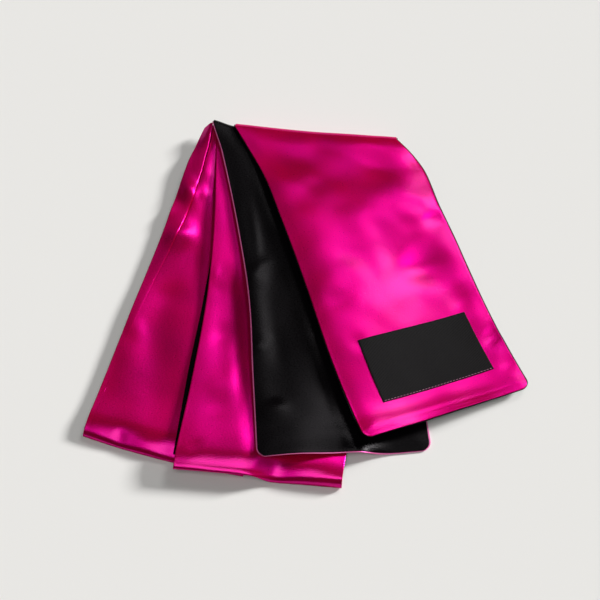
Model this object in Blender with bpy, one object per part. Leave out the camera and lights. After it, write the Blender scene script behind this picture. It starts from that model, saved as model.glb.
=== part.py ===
"""A double-faced satin sash, folded to and fro in a fan and lying on a flat surface.

The sash is a pink strip and a black strip sewn face to face. Each stretch of it that shows is a
pair of thin walls. A stretch is laid out by a short table of sections, it drapes over the
stretches below it, and a fold at one end turns its walls down and back under.
Tables are in millimetres; the mesh is in metres, +Z up, resting on z = 0.
"""

import bpy
import numpy as np

MM = 0.001

# Cloth
WALL = 1.0  # one strip of satin, as a solid wall
SEAM = 0.35  # between the pink and the black wall of one stretch
REST = 0.4  # between one stretch and the next
PAIR = 2 * WALL + SEAM
RIM = 0.8  # how far the lower wall of a pair shows past the upper one
MOST_DRAWN = 0.8  # a wall is drawn in by no more than this share of its outer column

# Hidden layers
INNER_THICK = 3.2
INNER_PLIES = 3
INNER_GROOVE = 0.7

# Folds
FOLD_STEPS = 6
TOP_FOLD = 7.5  # depth of the fold that wraps the back of the pile
END_FOLD = 3.0
RETURN_FOLD = 2.5
MIDDLE_FOLD = 4.0
LOWER_FOLD = 4.5
LOWER_LOOP = 1.5  # how much the loop inside the lower front fold lifts it
LOWER_LOOP_LENGTH = 35.0
MIDDLE_LOOP = 1.2
MIDDLE_LOOP_FREE = 6.5  # the same loop where no other stretch lies under it
MIDDLE_LOOP_LENGTH = 60.0
MIDDLE_FREE_FROM, MIDDLE_FREE_TO = -32.0, 6.0
LOWER_BOW = 2.5  # how far the middle of the lower front fold bows out
TOP_BOW = -1.5
TOP_RISE = 3.0  # how far the stiff free side of the top stretch stands off the surface
TOP_RISE_FROM, TOP_RISE_TO = 60.0, 125.0
TOP_FOLD_RIGHT = 0.5  # share of its depth that the top fold keeps at its right end
TAPER_FROM = 0.55  # share of the way across where that narrowing starts

# How far each fold's walls reach back under the pile, outer wall then inner wall
TOP_LIPS = (9.0, 2.0)
END_LIP = 2.0
MIDDLE_LIPS = (3.5, 1.5)
RETURN_LIP = 2.0
LOWER_LIPS = (6.0, 3.0)

STRETCH_LENGTH = 245.0  # of the lower stretch, from its back to its front fold

# Label
LABEL_SIDE, LABEL_FRONT = 22.0, 22.5  # from the left edge and from the front edge
LABEL_WIDTH, LABEL_HEIGHT = 79.5, 50.0
LABEL_THICK = 1.0

CORNER = 7.0  # rounding of the two corners at each free end

# Rows of the mesh that lie near an end, as distances from it
CORNER_ROWS = (0, 1, 3, CORNER)
CORNER_LOOP_ROWS = (*CORNER_ROWS, 22, 37, 52)  # and on over a loop below
LOOP_ROWS = (36, 27, 18, 9, 0)
LONG_LOOP_ROWS = (60, 45, 30, 15, 0)
OVER_LOOP_ROWS = (0, 9, 18, 27)
BACK_ROWS = (0, 6, 14, 27)

# Mesh of each stretch: columns up to the edge of the stretch below, columns past it, and the
# spacing of the rows between those near its ends
TOP_GRID = (12, 0, 19.0)
END_GRID = (11, 5, 20.0)
MIDDLE_GRID = (6, 6, 22.0)
RETURN_GRID = (5, 5, 24.0)
LOWER_GRID = (8, 0, 24.0)
FLAT_GRID = (5, 0, 40.0)

BACK_ROOM = 12.0  # the hidden layers reach this far past the lowest stretch at the back
BACK_REACH = 12.0  # and what lies over them comes down over this length
EDGE_ROOM = 0.5  # a column that follows the edge of a stretch below lies this far past it
NEAREST_COLUMN = 0.1  # and no nearer to the left side than this share of the width
SHARP = 50  # edges that turn by more degrees are shaded sharp
CURVE_STEPS = 24  # points on a smooth curve from one section to the next
OUTLINE_ROWS, OUTLINE_FRONT = 25, 9  # points of a layer's outline along a side and its fold
LENGTH_ROWS = 60  # points along a stretch that its length is summed over

PINK = (0.82, 0.004, 0.21, 1)
BLACK = (0.012, 0.010, 0.011, 1)
WOVEN_BLACK = (0.02, 0.014, 0.017, 1)

# Sections of each stretch: left x, left y, right x, right y. The last one is where its fold starts.
TOP_SECTIONS = (
    (40.1, -106.9, 151.0, -64.0),
    (19.4, -50.3, 127.4, -8.8),
    (1.9, 8.7, 107.9, 46.7),
    (-13.1, 56.4, 97.3, 74.0),
    (-27.6, 99.0, 88.6, 104.0),
    (-47.9, 141.3, 75.5, 127.0),
)
END_SECTIONS = (
    (-27.2, -118.5, 84.5, -107.0),
    (-31.0, -58.0, 78.0, -47.5),
    (-34.8, 0.0, 70.5, 14.0),
    (-46.0, 70.0, 62.0, 76.0),
    (-61.0, 143.3, 52.0, 126.9),
)
MIDDLE_SECTIONS = (
    (-60.6, 139.7, 50.6, 123.4),
    (-59.8, 60.0, 49.0, 55.0),
    (-62.5, 4.0, 44.5, -4.0),
    (-70.0, -58.0, 37.0, -66.0),
    (-79.0, -118.3, 26.5, -129.3),
)
RETURN_SECTIONS = (
    (-80.2, -113.2, 25.0, -124.6),
    (-74.2, -52.0, 34.0, -66.0),
    (-66.8, 2.0, 42.0, -4.0),
    (-61.6, 60.0, 47.0, 55.0),
    (-61.5, 141.5, 49.0, 125.8),
)
LOWER_SECTIONS = (
    (-69.7, 139.3, 47.6, 121.0),
    (-79.6, 117.0, 40.0, 92.0),
    (-95.4, 57.0, 22.0, 34.0),
    (-114.2, -8.0, 2.0, -32.0),
    (-138.2, -93.2, -35.0, -120.8),
)
BASE_SECTIONS = (
    (-69.0, 131.0, 40.0, 117.5),
    (-92.4, 56.0, 16.0, 32.0),
    (-111.3, -8.0, -3.0, -34.0),
    (-133.8, -85.5, -33.0, -112.5),
)
INNER_SECTIONS = (
    (-68.0, 138.5, 40.0, 123.0),
    (-92.0, 56.0, 15.0, 32.0),
    (-110.8, -8.0, -4.0, -34.0),
    (-133.3, -85.0, -34.0, -112.0),
)

# The pleat beside the left side of the lower stretch: share of the way from the back, distance of
# its ridge from the side, height of the ridge.
PLEAT = (
    (0.00, 6.3, 7.5),
    (0.10, 10.5, 4.0),
    (0.25, 10.5, 2.4),
    (0.42, 8.0, 1.4),
    (0.60, 5.0, 0.7),
    (0.78, 4.0, 0.0),
    (1.00, 4.0, 0.0),
)
PLEAT_DROP = 1.3  # width of its steep side
PLEAT_ACROSS = (0.0, 0.45, 0.85, 1.0)  # from the side to the ridge
PLEAT_RISE = (0.0, 0.45, 0.95, 1.0)  # share of the ridge's height there

# Corners that stick out at the back: how far, and how far in from the corner they reach
PLEAT_EAR, PLEAT_EAR_DEPTH = 7.0, 20.0
END_EAR, END_EAR_WIDTH, END_EAR_DEPTH = 3.4, 13.0, 25.0


def smoothstep(value, start, end):
    t = np.clip((value - start) / (end - start), 0, 1)
    return t * t * (3 - 2 * t)


def fall(distance, reach):
    """1 at no distance, easing down to 0 at the reach."""
    return 0.5 * (1 + np.cos(np.pi * np.clip(distance / reach, 0, 1)))


def through(sections, where):
    """Rows of a smooth curve through the sections (Catmull-Rom), at these shares of its length."""
    knots = np.array(sections, float)
    knots = np.vstack([2 * knots[0] - knots[1], knots, 2 * knots[-1] - knots[-2]])
    t = np.linspace(0, 1, CURVE_STEPS, endpoint=False)[:, None]
    pieces = []
    for a, b, c, d in zip(knots, knots[1:], knots[2:], knots[3:]):
        slope_b, slope_c = (c - a) / 2, (d - b) / 2
        pieces.append(
            (2 * t**3 - 3 * t**2 + 1) * b
            + (t**3 - 2 * t**2 + t) * slope_b
            + (3 * t**2 - 2 * t**3) * c
            + (t**3 - t**2) * slope_c
        )
    fine = np.vstack(pieces + [knots[-2][None]])
    length = np.concatenate([[0], np.cumsum(np.linalg.norm(np.diff(fine, axis=0), axis=1))])
    at = np.asarray(where) * length[-1]
    return np.column_stack([np.interp(at, length, fine[:, i]) for i in range(4)])


def distance_to(outline, points):
    """Distance in plan from each point to a closed outline, 0 inside it."""
    start, end = outline, np.roll(outline, -1, axis=0)
    side = end - start
    rel = points[:, None, :] - start
    t = np.clip((rel * side).sum(2) / np.maximum((side * side).sum(1), 1e-9), 0, 1)
    gap = np.linalg.norm(rel - t[..., None] * side, axis=2).min(1)
    x, y = points[:, :1], points[:, 1:]
    crosses = (start[:, 1] > y) != (end[:, 1] > y)
    rise = np.where(side[:, 1] == 0, 1, side[:, 1])
    inside = (crosses & (x < start[:, 0] + (y - start[:, 1]) * side[:, 0] / rise)).sum(1) % 2
    return np.where(inside, 0, gap)


def fold_normal(sections):
    """Unit vector in plan, out of the pile, at right angles to the line where the fold starts."""
    left, right = np.array(sections[-1][:2]), np.array(sections[-1][2:])
    along = (right - left) / np.linalg.norm(right - left)
    normal = np.array([-along[1], along[0]])
    inward = np.array(sections[-2][:2]) - left
    return normal if normal @ inward < 0 else -normal


def bow_at(layer, across, along):
    """How far a row bows out, most in the middle of the fold line."""
    return layer.bow * 4 * across * (1 - across) * along**4


class Layer:
    """One stretch in the pile: its plan, and the room that it takes."""

    def __init__(self, sections, room, fold=0.0, loop=None, bow=0.0, falls=None):
        self.sections = sections
        self.room, self.loop, self.bow = room, loop, bow
        self.falls = falls  # for each layer below: how far past its edge this one stays up, and
        # how far it then takes to come down
        self.normal = fold_normal(sections)
        rows = through(sections, np.linspace(0, 1, OUTLINE_ROWS))
        across = np.linspace(0, 1, OUTLINE_FRONT)
        out = fold + bow_at(self, across, 1)
        front = rows[-1, :2] + (rows[-1, 2:] - rows[-1, :2]) * across[:, None]
        front += self.normal * out[:, None]
        self.right = np.vstack([rows[:, 2:], front[-1:]])
        self.outline = np.vstack([rows[:, :2], front, rows[::-1, 2:]])
        self.fold_line = rows[-1]

    def lift(self, points):
        """The room that this layer takes under whatever lies on it, inside its outline."""
        room = np.full(len(points), float(self.room))
        if self.loop:
            room += self.loop(self, points)
        return room

    def from_fold(self, points):
        return np.maximum(0, (self.fold_line[:2] - points) @ self.normal)


def lower_loop(layer, points):
    return LOWER_LOOP * fall(layer.from_fold(points), LOWER_LOOP_LENGTH)


def middle_loop(layer, points):
    free = smoothstep(points[:, 0], MIDDLE_FREE_FROM, MIDDLE_FREE_TO)
    height = MIDDLE_LOOP + (MIDDLE_LOOP_FREE - MIDDLE_LOOP) * free
    return height * fall(layer.from_fold(points), MIDDLE_LOOP_LENGTH)


def top_rise(layer, points):
    return TOP_RISE * smoothstep(points[:, 0], TOP_RISE_FROM, TOP_RISE_TO)


BASE = Layer(BASE_SECTIONS, WALL + REST)
INNER = Layer(INNER_SECTIONS, INNER_THICK + REST)
HIDDEN = BASE.room + INNER.room  # height of all that the lowest full stretch lies on
LOWER = Layer(
    LOWER_SECTIONS, HIDDEN + PAIR + REST, LOWER_FOLD, loop=lower_loop, bow=LOWER_BOW
)
RETURN = Layer(RETURN_SECTIONS, WALL + REST, RETURN_FOLD, falls={LOWER: (3, 12)})
MIDDLE = Layer(
    MIDDLE_SECTIONS,
    PAIR + REST,
    MIDDLE_FOLD,
    loop=middle_loop,
    falls={LOWER: (5, 14), RETURN: (5, 14)},
)
END = Layer(
    END_SECTIONS,
    PAIR + REST,
    END_FOLD,
    falls={LOWER: (8, 50), RETURN: (8, 15), MIDDLE: (8, 15)},
)
TOP = Layer(
    TOP_SECTIONS,
    PAIR + REST,
    TOP_FOLD,
    loop=top_rise,
    bow=TOP_BOW,
    falls={LOWER: (11, 95), RETURN: (11, 65), MIDDLE: (11, 65), END: (11, 38)},
)


def height_under(layer, points, over=None):
    """Height of the pile below this layer, as its cloth lies on it, or below another one."""
    if layer is LOWER:
        return np.full(len(points), HIDDEN)
    total = np.zeros(len(points))
    for below, (margin, reach) in layer.falls.items():
        if below is over:
            break
        gap = np.maximum(0, distance_to(below.outline, points) - margin)
        total += below.lift(points) * fall(gap, reach)
    return total


def corner_inset(from_end, radius):
    """How far a rounded corner draws the side in, at a distance from the free end."""
    left = np.clip(radius - from_end, 0, radius)
    return radius - np.sqrt(radius**2 - left**2)


def rows_of(layer, spacing, first=(0,), last=(0,), corner=0.0):
    """Plan points of a stretch, from its free end to its fold. The free corners are rounded.

    first and last are the distances of the rows near the two ends.
    """
    side = through(layer.sections, np.linspace(0, 1, LENGTH_ROWS))[:, :2]
    length = np.linalg.norm(np.diff(side, axis=0), axis=1).sum()
    start, stop = first[-1], length - last[0]
    middle = np.linspace(start, stop, max(1, round((stop - start) / spacing)) + 1)
    ends = [length - distance for distance in last[1:]]
    share = np.concatenate([first[:-1], middle, ends]) / length
    rows = through(layer.sections, share)
    inset = corner_inset(share * length, corner) if corner else np.zeros(len(share))
    return rows, share, inset


def crossing(row, line):
    """Share of the way along a row, in plan, where it crosses a line of points."""
    start, side = row[:2], row[2:] - row[:2]
    normal = np.array([-side[1], side[0]])
    off = (line - start) @ normal
    along = (line - start) @ side / (side @ side)
    order = np.argsort(off)
    return float(np.interp(0, off[order], along[order]))


def pleat_at(share):
    """Distance of the ridge from the left side, and its height, this far from the back."""
    where, side, height = np.array(PLEAT).T
    return np.interp(share, where, side), np.interp(share, where, height)


def with_ear(plan):
    """The end stretch's plan with its left corner at the back drawn out."""
    from_corner = np.linalg.norm(plan - plan[:, :1], axis=2)
    from_back = np.linalg.norm(plan - plan[-1:], axis=2)
    plan[..., 1] += END_EAR * fall(from_corner, END_EAR_WIDTH) * fall(from_back, END_EAR_DEPTH)
    return plan


def pleated_grid(layer, grid_size, first, last):
    """Plan points, and the extra height there, of a stretch with a pleat along its left side."""
    columns, _, spacing = grid_size
    rows, share, _ = rows_of(layer, spacing, first, last)
    grid, extra = [], []
    for row, along in zip(rows, share):
        width = np.linalg.norm(row[2:] - row[:2])
        side, height = pleat_at(along)
        foot = (side + PLEAT_DROP) / width
        across = np.append(np.array(PLEAT_ACROSS) * side / width, np.linspace(foot, 1, columns))
        points = across_row(layer, row, across, along)
        ear = PLEAT_EAR * fall(along * STRETCH_LENGTH, PLEAT_EAR_DEPTH)
        points[: len(PLEAT_ACROSS), 1] += ear
        grid.append(points)
        extra.append(height * np.append(PLEAT_RISE, np.zeros(columns)))
    return np.array(grid), np.array(extra)


def across_row(layer, row, across, along):
    """Plan points at these shares across a row, bowed out toward the fold."""
    points = row[:2] + (row[2:] - row[:2]) * across[:, None]
    return points + layer.normal * bow_at(layer, across, along)[:, None]


def across_shares(row, columns, beyond, edge_of):
    """Where the columns lie across a row. With an edge below, one of them follows that edge."""
    width = np.linalg.norm(row[2:] - row[:2])
    if edge_of is None:
        return np.linspace(0, 1, columns + 1)
    edge = crossing(row, edge_of.right) + EDGE_ROOM / width
    edge = np.clip(edge, NEAREST_COLUMN, 1 - 2 * beyond / width)
    past = (np.arange(1, beyond + 1) / beyond) ** 1.5
    return np.concatenate([np.linspace(0, edge, columns + 1), edge + past * (1 - edge)])


def plan_grid(layer, grid_size, edge_of=None, **rows_near_ends):
    """Plan points of a stretch, its free end first."""
    columns, beyond, spacing = grid_size
    rows, share, inset = rows_of(layer, spacing, **rows_near_ends)
    grid = []
    for row, along, drawn in zip(rows, share, inset):
        edge = drawn / np.linalg.norm(row[2:] - row[:2])
        across = edge + (1 - 2 * edge) * across_shares(row, columns, beyond, edge_of)
        grid.append(across_row(layer, row, across, along))
    return np.array(grid)


class Stretch:
    """The path of a stretch's cloth: along the pile, round its fold, and back under as a lip."""

    def __init__(self, layer, plan, fold, bottom=None, thick=PAIR, extra=0):
        self.layer, self.plan, self.extra = layer, plan, extra
        self.fold = np.broadcast_to(fold, plan.shape[1])
        self.bottom, self.thick = bottom, thick

    def lying(self, depth):
        """Points of the cloth that lies on the pile, this far below the stretch's top face."""
        flat = self.plan.reshape(-1, 2)
        z = height_under(self.layer, flat) + self.thick - depth
        if self.layer.loop:
            z += self.layer.loop(self.layer, flat)
        return np.dstack([self.plan, z.reshape(self.plan.shape[:2]) + self.extra])

    def folding(self, depth, lip):
        """Points round the fold and along the lip, this far inside the outer face."""
        line = self.lying(0)[-1]
        top = line[:, 2]
        points = []
        for step in range(1, FOLD_STEPS + 1):
            angle = np.pi * (0.5 - step / FOLD_STEPS)
            out = (self.fold - depth) * np.cos(angle)
            plan = line[:, :2] + self.layer.normal * out[:, None]
            under = self.under(plan)
            middle, half = (top + under) / 2, (top - under) / 2 - depth
            points.append(np.column_stack([plan, middle + half * np.sin(angle)]))
        if lip:
            plan = line[:, :2] - self.layer.normal * lip
            points.append(np.column_stack([plan, self.under(plan) + depth]))
        return np.array(points)

    def under(self, plan):
        """Height that the fold comes down to: the floor, or what its lower half lies on."""
        if self.bottom is None:
            return np.zeros(len(plan))
        if self.bottom is LOWER:
            gap = np.maximum(0, distance_to(LOWER.outline, plan) - BACK_ROOM)
            return HIDDEN * fall(gap, BACK_REACH)
        return height_under(self.layer, plan, over=self.bottom)

    def surface(self, depth, lip=None):
        """The whole path at this depth. Without a lip it ends where the fold starts."""
        lying = self.lying(depth)
        if lip is None:
            return lying
        return np.vstack([lying, self.folding(depth, lip)])


def drawn_in(grid, amount, sides=("left", "right", "free end")):
    """The grid with these sides moved in along its own lines."""
    turned = {
        "left": lambda array: array.swapaxes(0, 1),
        "right": lambda array: array.swapaxes(0, 1)[::-1],
        "free end": lambda array: array,
        "back": lambda array: array[::-1],
    }
    grid = grid.copy()
    for side in sides:
        lines = turned[side](grid)
        step = lines[1] - lines[0]
        size = np.linalg.norm(step, axis=1, keepdims=True)
        lines[0] += step * np.minimum(amount / size, MOST_DRAWN)
    return grid


def solid_between(levels):
    """Closed surface of a stack of grids, outermost face first: its faces and its four sides."""
    rows, columns = levels[0].shape[:2]
    points = np.concatenate([level.reshape(-1, 3) for level in levels])
    size = rows * columns

    def at(level, row, column):
        return level * size + row * columns + column

    faces = []
    last = len(levels) - 1
    for row in range(rows - 1):
        for column in range(columns - 1):
            a, b = (row, column), (row, column + 1)
            c, d = (row + 1, column + 1), (row + 1, column)
            for triangle in ((a, b, c), (a, c, d)):
                faces.append([at(0, *corner) for corner in triangle])
                faces.append([at(last, *corner) for corner in reversed(triangle)])
    rim = [(0, column) for column in range(columns)]
    rim += [(row, columns - 1) for row in range(1, rows)]
    rim += [(rows - 1, column) for column in range(columns - 2, -1, -1)]
    rim += [(row, 0) for row in range(rows - 2, 0, -1)]
    for level in range(last):
        for one, two in zip(rim, rim[1:] + rim[:1]):
            a, b = at(level, *two), at(level, *one)
            c, d = at(level + 1, *one), at(level + 1, *two)
            faces += [[a, b, c], [a, c, d]]
    return points, faces


def material(name, colour, roughness):
    made = bpy.data.materials.new(name)
    made.use_nodes = True
    shader = made.node_tree.nodes["Principled BSDF"]
    shader.inputs["Base Color"].default_value = colour
    shader.inputs["Roughness"].default_value = roughness
    shader.inputs["Metallic"].default_value = 0.0
    made.diffuse_color = colour
    return made


def clear_scene():
    for old in list(bpy.data.objects):
        bpy.data.objects.remove(old, do_unlink=True)


def signed_volume(points, faces):
    a, b, c = points[np.array(faces)].transpose(1, 0, 2)
    return (a * np.cross(b, c)).sum()


def add_piece(name, shape, finish, parent, origin):
    points, faces = shape
    if signed_volume(points, faces) < 0:
        faces = [face[::-1] for face in faces]
    points = (points - origin) * MM
    centre = points.mean(axis=0)
    mesh = bpy.data.meshes.new(name)
    mesh.from_pydata((points - centre).tolist(), [], faces)
    mesh.materials.append(finish)
    mesh.shade_smooth()
    mesh.set_sharp_from_angle(angle=np.radians(SHARP))
    piece = bpy.data.objects.new(name, mesh)
    piece.location = centre
    piece.parent = parent
    bpy.context.collection.objects.link(piece)
    return piece


def walls(stretch, lips, rim=0.0):
    """The two walls of a stretch, one inside the other round its fold."""
    outer_lip, inner_lip = lips
    outer = [drawn_in(stretch.surface(depth, outer_lip), rim) for depth in (0, WALL)]
    inner = [stretch.surface(depth, inner_lip) for depth in (WALL + SEAM, PAIR)]
    return solid_between(outer), solid_between(inner)


def level(plan, z):
    return np.dstack([plan, np.full(plan.shape[:2], z)])


def inner_solid():
    """The hidden layers as one solid, with a groove round it between one ply and the next."""
    plan = plan_grid(INNER, FLAT_GRID)
    levels = []
    for step in range(2 * INNER_PLIES + 1):
        z = BASE.room + INNER_THICK * (1 - step / (2 * INNER_PLIES))
        groove = INNER_GROOVE * ((step + 1) % 2)
        levels.append(drawn_in(level(plan, z), groove, ("left", "right", "free end", "back")))
    return solid_between(levels)


def label_shape(grid):
    """A patch of the top stretch's own facets, moved up. The grid runs from the front edge."""
    along = np.linalg.norm(np.diff(grid[:, 0], axis=0), axis=1)
    along = np.concatenate([[0], np.cumsum(along)])
    columns = grid.shape[1]
    whole = len(CORNER_ROWS)  # the first row past the rounded corners
    width = np.linalg.norm(grid[whole, -1] - grid[whole, 0])
    start, end = LABEL_SIDE / width, (LABEL_SIDE + LABEL_WIDTH) / width
    across = np.linspace(0, 1, columns)
    across = np.concatenate([[start], across[(across > start) & (across < end)], [end]])
    front, back = LABEL_FRONT, LABEL_FRONT + LABEL_HEIGHT
    rows = np.concatenate([[front], along[(along > front) & (along < back)], [back]])
    patch = np.empty((len(rows), len(across), 3))
    for i, row in enumerate(np.interp(rows, along, np.arange(len(along)))):
        low = min(int(row), len(along) - 2)
        line = grid[low] + (grid[low + 1] - grid[low]) * (row - low)
        for axis in range(3):
            patch[i, :, axis] = np.interp(across, np.linspace(0, 1, columns), line[:, axis])
    up = np.array([0, 0, 1])
    return solid_between([patch + up * (SEAM + LABEL_THICK), patch + up * SEAM])


def build():
    clear_scene()
    shapes = {}
    plan = plan_grid(TOP, TOP_GRID, first=CORNER_ROWS, corner=CORNER)
    across = np.linspace(0, 1, plan.shape[1])
    narrowed = 1 - (1 - TOP_FOLD_RIGHT) * smoothstep(across, TAPER_FROM, 1)
    top = Stretch(TOP, plan, TOP_FOLD * narrowed)
    shapes["top_stretch_front"], shapes["top_stretch_back"] = walls(top, TOP_LIPS, RIM)
    shapes["label"] = label_shape(drawn_in(top.surface(0), RIM))

    plan = with_ear(plan_grid(END, END_GRID, MIDDLE, first=CORNER_LOOP_ROWS, corner=CORNER))
    end = Stretch(END, plan, END_FOLD, bottom=MIDDLE)
    outer = [end.surface(depth, END_LIP) for depth in (0, WALL)]
    outer = [drawn_in(grid, RIM, ("left", "free end")) for grid in outer]
    shapes["end_stretch_front"] = solid_between(outer)
    shapes["end_stretch_back"] = solid_between([end.surface(WALL + SEAM), end.surface(PAIR)])

    plan = plan_grid(MIDDLE, MIDDLE_GRID, LOWER, last=LONG_LOOP_ROWS)
    middle = Stretch(MIDDLE, plan, MIDDLE_FOLD, bottom=RETURN)
    shapes["middle_stretch_front"], shapes["middle_stretch_back"] = walls(middle, MIDDLE_LIPS)

    plan = plan_grid(RETURN, RETURN_GRID, LOWER, first=OVER_LOOP_ROWS)
    under = Stretch(RETURN, plan, RETURN_FOLD, bottom=LOWER, thick=WALL)
    faces = [under.surface(depth, RETURN_LIP) for depth in (0, WALL)]
    shapes["return_stretch"] = solid_between(faces)

    plan, ridge = pleated_grid(LOWER, LOWER_GRID, BACK_ROWS, LOOP_ROWS)
    lower = Stretch(LOWER, plan, LOWER_FOLD, extra=ridge)
    shapes["lower_stretch_front"], shapes["lower_stretch_back"] = walls(lower, LOWER_LIPS)

    shapes["inner_layers"] = inner_solid()
    plan = plan_grid(BASE, FLAT_GRID)
    shapes["base_stretch"] = solid_between([level(plan, WALL), level(plan, 0)])

    everything = np.vstack([points for points, faces in shapes.values()])
    low, high = everything.min(axis=0), everything.max(axis=0)
    origin = np.array([(low[0] + high[0]) / 2, (low[1] + high[1]) / 2, low[2]])
    print("origin of the tables at", -origin)

    sash = bpy.data.objects.new("sash", None)
    bpy.context.collection.objects.link(sash)
    pink = material("pink_satin", PINK, 0.35)
    black = material("black_satin", BLACK, 0.4)
    woven = material("woven_black", WOVEN_BLACK, 0.7)
    finishes = {
        "label": woven,
        "top_stretch_back": black,
        "end_stretch_front": black,
        "middle_stretch_back": black,
        "return_stretch": black,
        "lower_stretch_back": black,
    }
    for name, shape in shapes.items():
        add_piece(name, shape, finishes.get(name, pink), sash, origin)


build()
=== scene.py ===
"""Looks of the folded double-faced satin sash: cloth shells on its solids, satin and light.

Tables and distances are in millimetres in the plan that the solids were laid out in. The mesh is
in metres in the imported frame. Left, right, front and back are the photograph's, with the front at
its bottom.
"""

import math

import bpy
import numpy as np
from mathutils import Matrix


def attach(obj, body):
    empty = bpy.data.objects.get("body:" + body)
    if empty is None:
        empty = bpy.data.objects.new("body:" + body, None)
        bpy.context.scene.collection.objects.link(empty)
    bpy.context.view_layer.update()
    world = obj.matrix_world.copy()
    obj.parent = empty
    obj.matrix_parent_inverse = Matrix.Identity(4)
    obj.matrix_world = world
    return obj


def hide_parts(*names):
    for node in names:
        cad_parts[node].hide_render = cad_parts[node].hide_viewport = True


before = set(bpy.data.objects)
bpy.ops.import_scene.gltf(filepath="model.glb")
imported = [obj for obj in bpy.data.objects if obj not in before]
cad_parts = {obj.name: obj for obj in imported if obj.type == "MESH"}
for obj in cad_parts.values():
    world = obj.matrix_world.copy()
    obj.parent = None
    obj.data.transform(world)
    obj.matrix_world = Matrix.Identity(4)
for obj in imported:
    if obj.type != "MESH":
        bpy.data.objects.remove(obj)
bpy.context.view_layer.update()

MM = 0.001
PLAN_ORIGIN = np.array([-4.699, -8.032, 0.0])  # where the plan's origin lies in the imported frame

# Sizes that the solids have too
WALL = 1.0  # one strip of satin, as a solid wall
SEAM = 0.35  # between the pink and the black wall of one stretch
REST = 0.4  # between one stretch and the next
PAIR = 2 * WALL + SEAM
RIM = 0.8  # how far the lower cloth of a free end shows past the upper one
INNER_THICK = 3.2  # of the hidden layers, without the one on the surface
INNER_PLIES = 3
TOP_FOLD = 7.5  # depth of the fold that wraps the back of the pile
END_FOLD = 3.0
RETURN_FOLD = 2.5
MIDDLE_FOLD = 4.0
LOWER_FOLD = 4.5
LOWER_LOOP = 1.5  # how much the loop inside the lower front fold lifts it
LOWER_LOOP_LENGTH = 35.0
MIDDLE_LOOP = 1.2
MIDDLE_LOOP_FREE = 6.5  # the same loop where no other stretch lies under it
MIDDLE_LOOP_LENGTH = 60.0
MIDDLE_FREE_FROM, MIDDLE_FREE_TO = -32.0, 6.0
LOWER_BOW = 2.5  # how far the middle of the lower front fold bows out
TOP_BOW = -1.5
TOP_RISE = 3.0  # how far the stiff free side of the top stretch stands off the surface
TOP_RISE_FROM, TOP_RISE_TO = 60.0, 125.0
STRETCH_LENGTH = 245.0  # of the lower stretch, from its back to its front fold
LABEL_SIDE, LABEL_FRONT = 22.0, 22.5  # from the left edge and from the front edge
LABEL_WIDTH, LABEL_HEIGHT = 79.5, 50.0
CORNER = 7.0  # rounding of the two corners at each free end
BACK_ROOM = 12.0  # the hidden layers reach this far past the lowest stretch at the back
BACK_REACH = 12.0  # and what lies over them comes down over this length
PLEAT_EAR, PLEAT_EAR_DEPTH = 7.0, 20.0  # how far the pleat's back end sticks out, on what length
END_EAR = 3.4  # how far the end stretch's left back corner sticks out
END_EAR_WIDTH, END_EAR_DEPTH = 13.0, 25.0  # and how far across and along the cloth that reaches

# How far each fold's cloth reaches back under the pile, outer cloth then inner cloth
TOP_LIPS = (9.0, 2.0)
END_LIPS = (2.0, 0)
MIDDLE_LIPS = (3.5, 1.5)
RETURN_LIP = 2.0
LOWER_LIPS = (6.0, 3.0)

# Widths over which the columns and creases of the drawn stretches are laid out
TOP_WIDTH, END_WIDTH, MIDDLE_WIDTH, RETURN_WIDTH, LOWER_WIDTH = 118.0, 111.0, 109.0, 108.0, 117.0

# Sizes of the drawn cloth alone
TOP_FOLD_RIGHT = 0.9  # share of its depth that the top fold keeps at its right end
TAPER_FROM = 0.6  # share of the way across where that narrowing starts
END_EAR_LEAN, END_EAR_RISE = 2.7, 1.5  # how far that corner leans to the left, and how high
INNER_SLACK = 1.6  # how much lower the drawn hidden layers are than their solid

# Sections of each stretch: left x, left y, right x, right y. The last one is where its fold starts.
# They are the solids' sections, but for up to 6 mm at the top stretch's right back corner, at the
# middle stretch's left front corner and along the return stretch's left side.
TOP_SECTIONS = (
    (40.1, -106.9, 151.0, -64.0),
    (19.4, -50.3, 127.4, -8.8),
    (1.9, 8.7, 107.9, 46.7),
    (-13.1, 56.4, 97.3, 74.0),
    (-27.6, 99.0, 87.6, 105.0),
    (-47.9, 141.3, 70.2, 129.8),
)
END_SECTIONS = (
    (-27.2, -118.5, 84.5, -107.0),
    (-31.0, -58.0, 78.0, -47.5),
    (-34.8, 0.0, 70.5, 14.0),
    (-46.0, 70.0, 62.0, 76.0),
    (-61.0, 143.3, 52.0, 126.9),
)
MIDDLE_SECTIONS = (
    (-60.6, 139.7, 50.6, 123.4),
    (-59.8, 60.0, 49.0, 55.0),
    (-62.5, 4.0, 44.5, -4.0),
    (-70.0, -58.0, 37.0, -66.0),
    (-79.3, -119.6, 26.5, -129.3),
)
RETURN_SECTIONS = (
    (-80.2, -113.2, 25.0, -124.6),
    (-73.0, -52.0, 34.0, -66.0),
    (-65.1, 2.0, 42.0, -4.0),
    (-59.5, 60.0, 47.0, 55.0),
    (-61.5, 141.5, 49.0, 125.8),
)
LOWER_SECTIONS = (
    (-69.7, 139.3, 47.6, 121.0),
    (-79.6, 117.0, 40.0, 92.0),
    (-95.4, 57.0, 22.0, 34.0),
    (-114.2, -8.0, 2.0, -32.0),
    (-138.2, -93.2, -35.0, -120.8),
)
BASE_SECTIONS = (
    (-69.0, 131.0, 40.0, 117.5),
    (-92.4, 56.0, 16.0, 32.0),
    (-111.3, -8.0, -3.0, -34.0),
    (-133.8, -85.5, -33.0, -112.5),
)
INNER_SECTIONS = (
    (-68.0, 138.5, 40.0, 123.0),
    (-92.0, 56.0, 15.0, 32.0),
    (-110.8, -8.0, -4.0, -34.0),
    (-133.3, -85.0, -34.0, -112.0),
)

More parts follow.
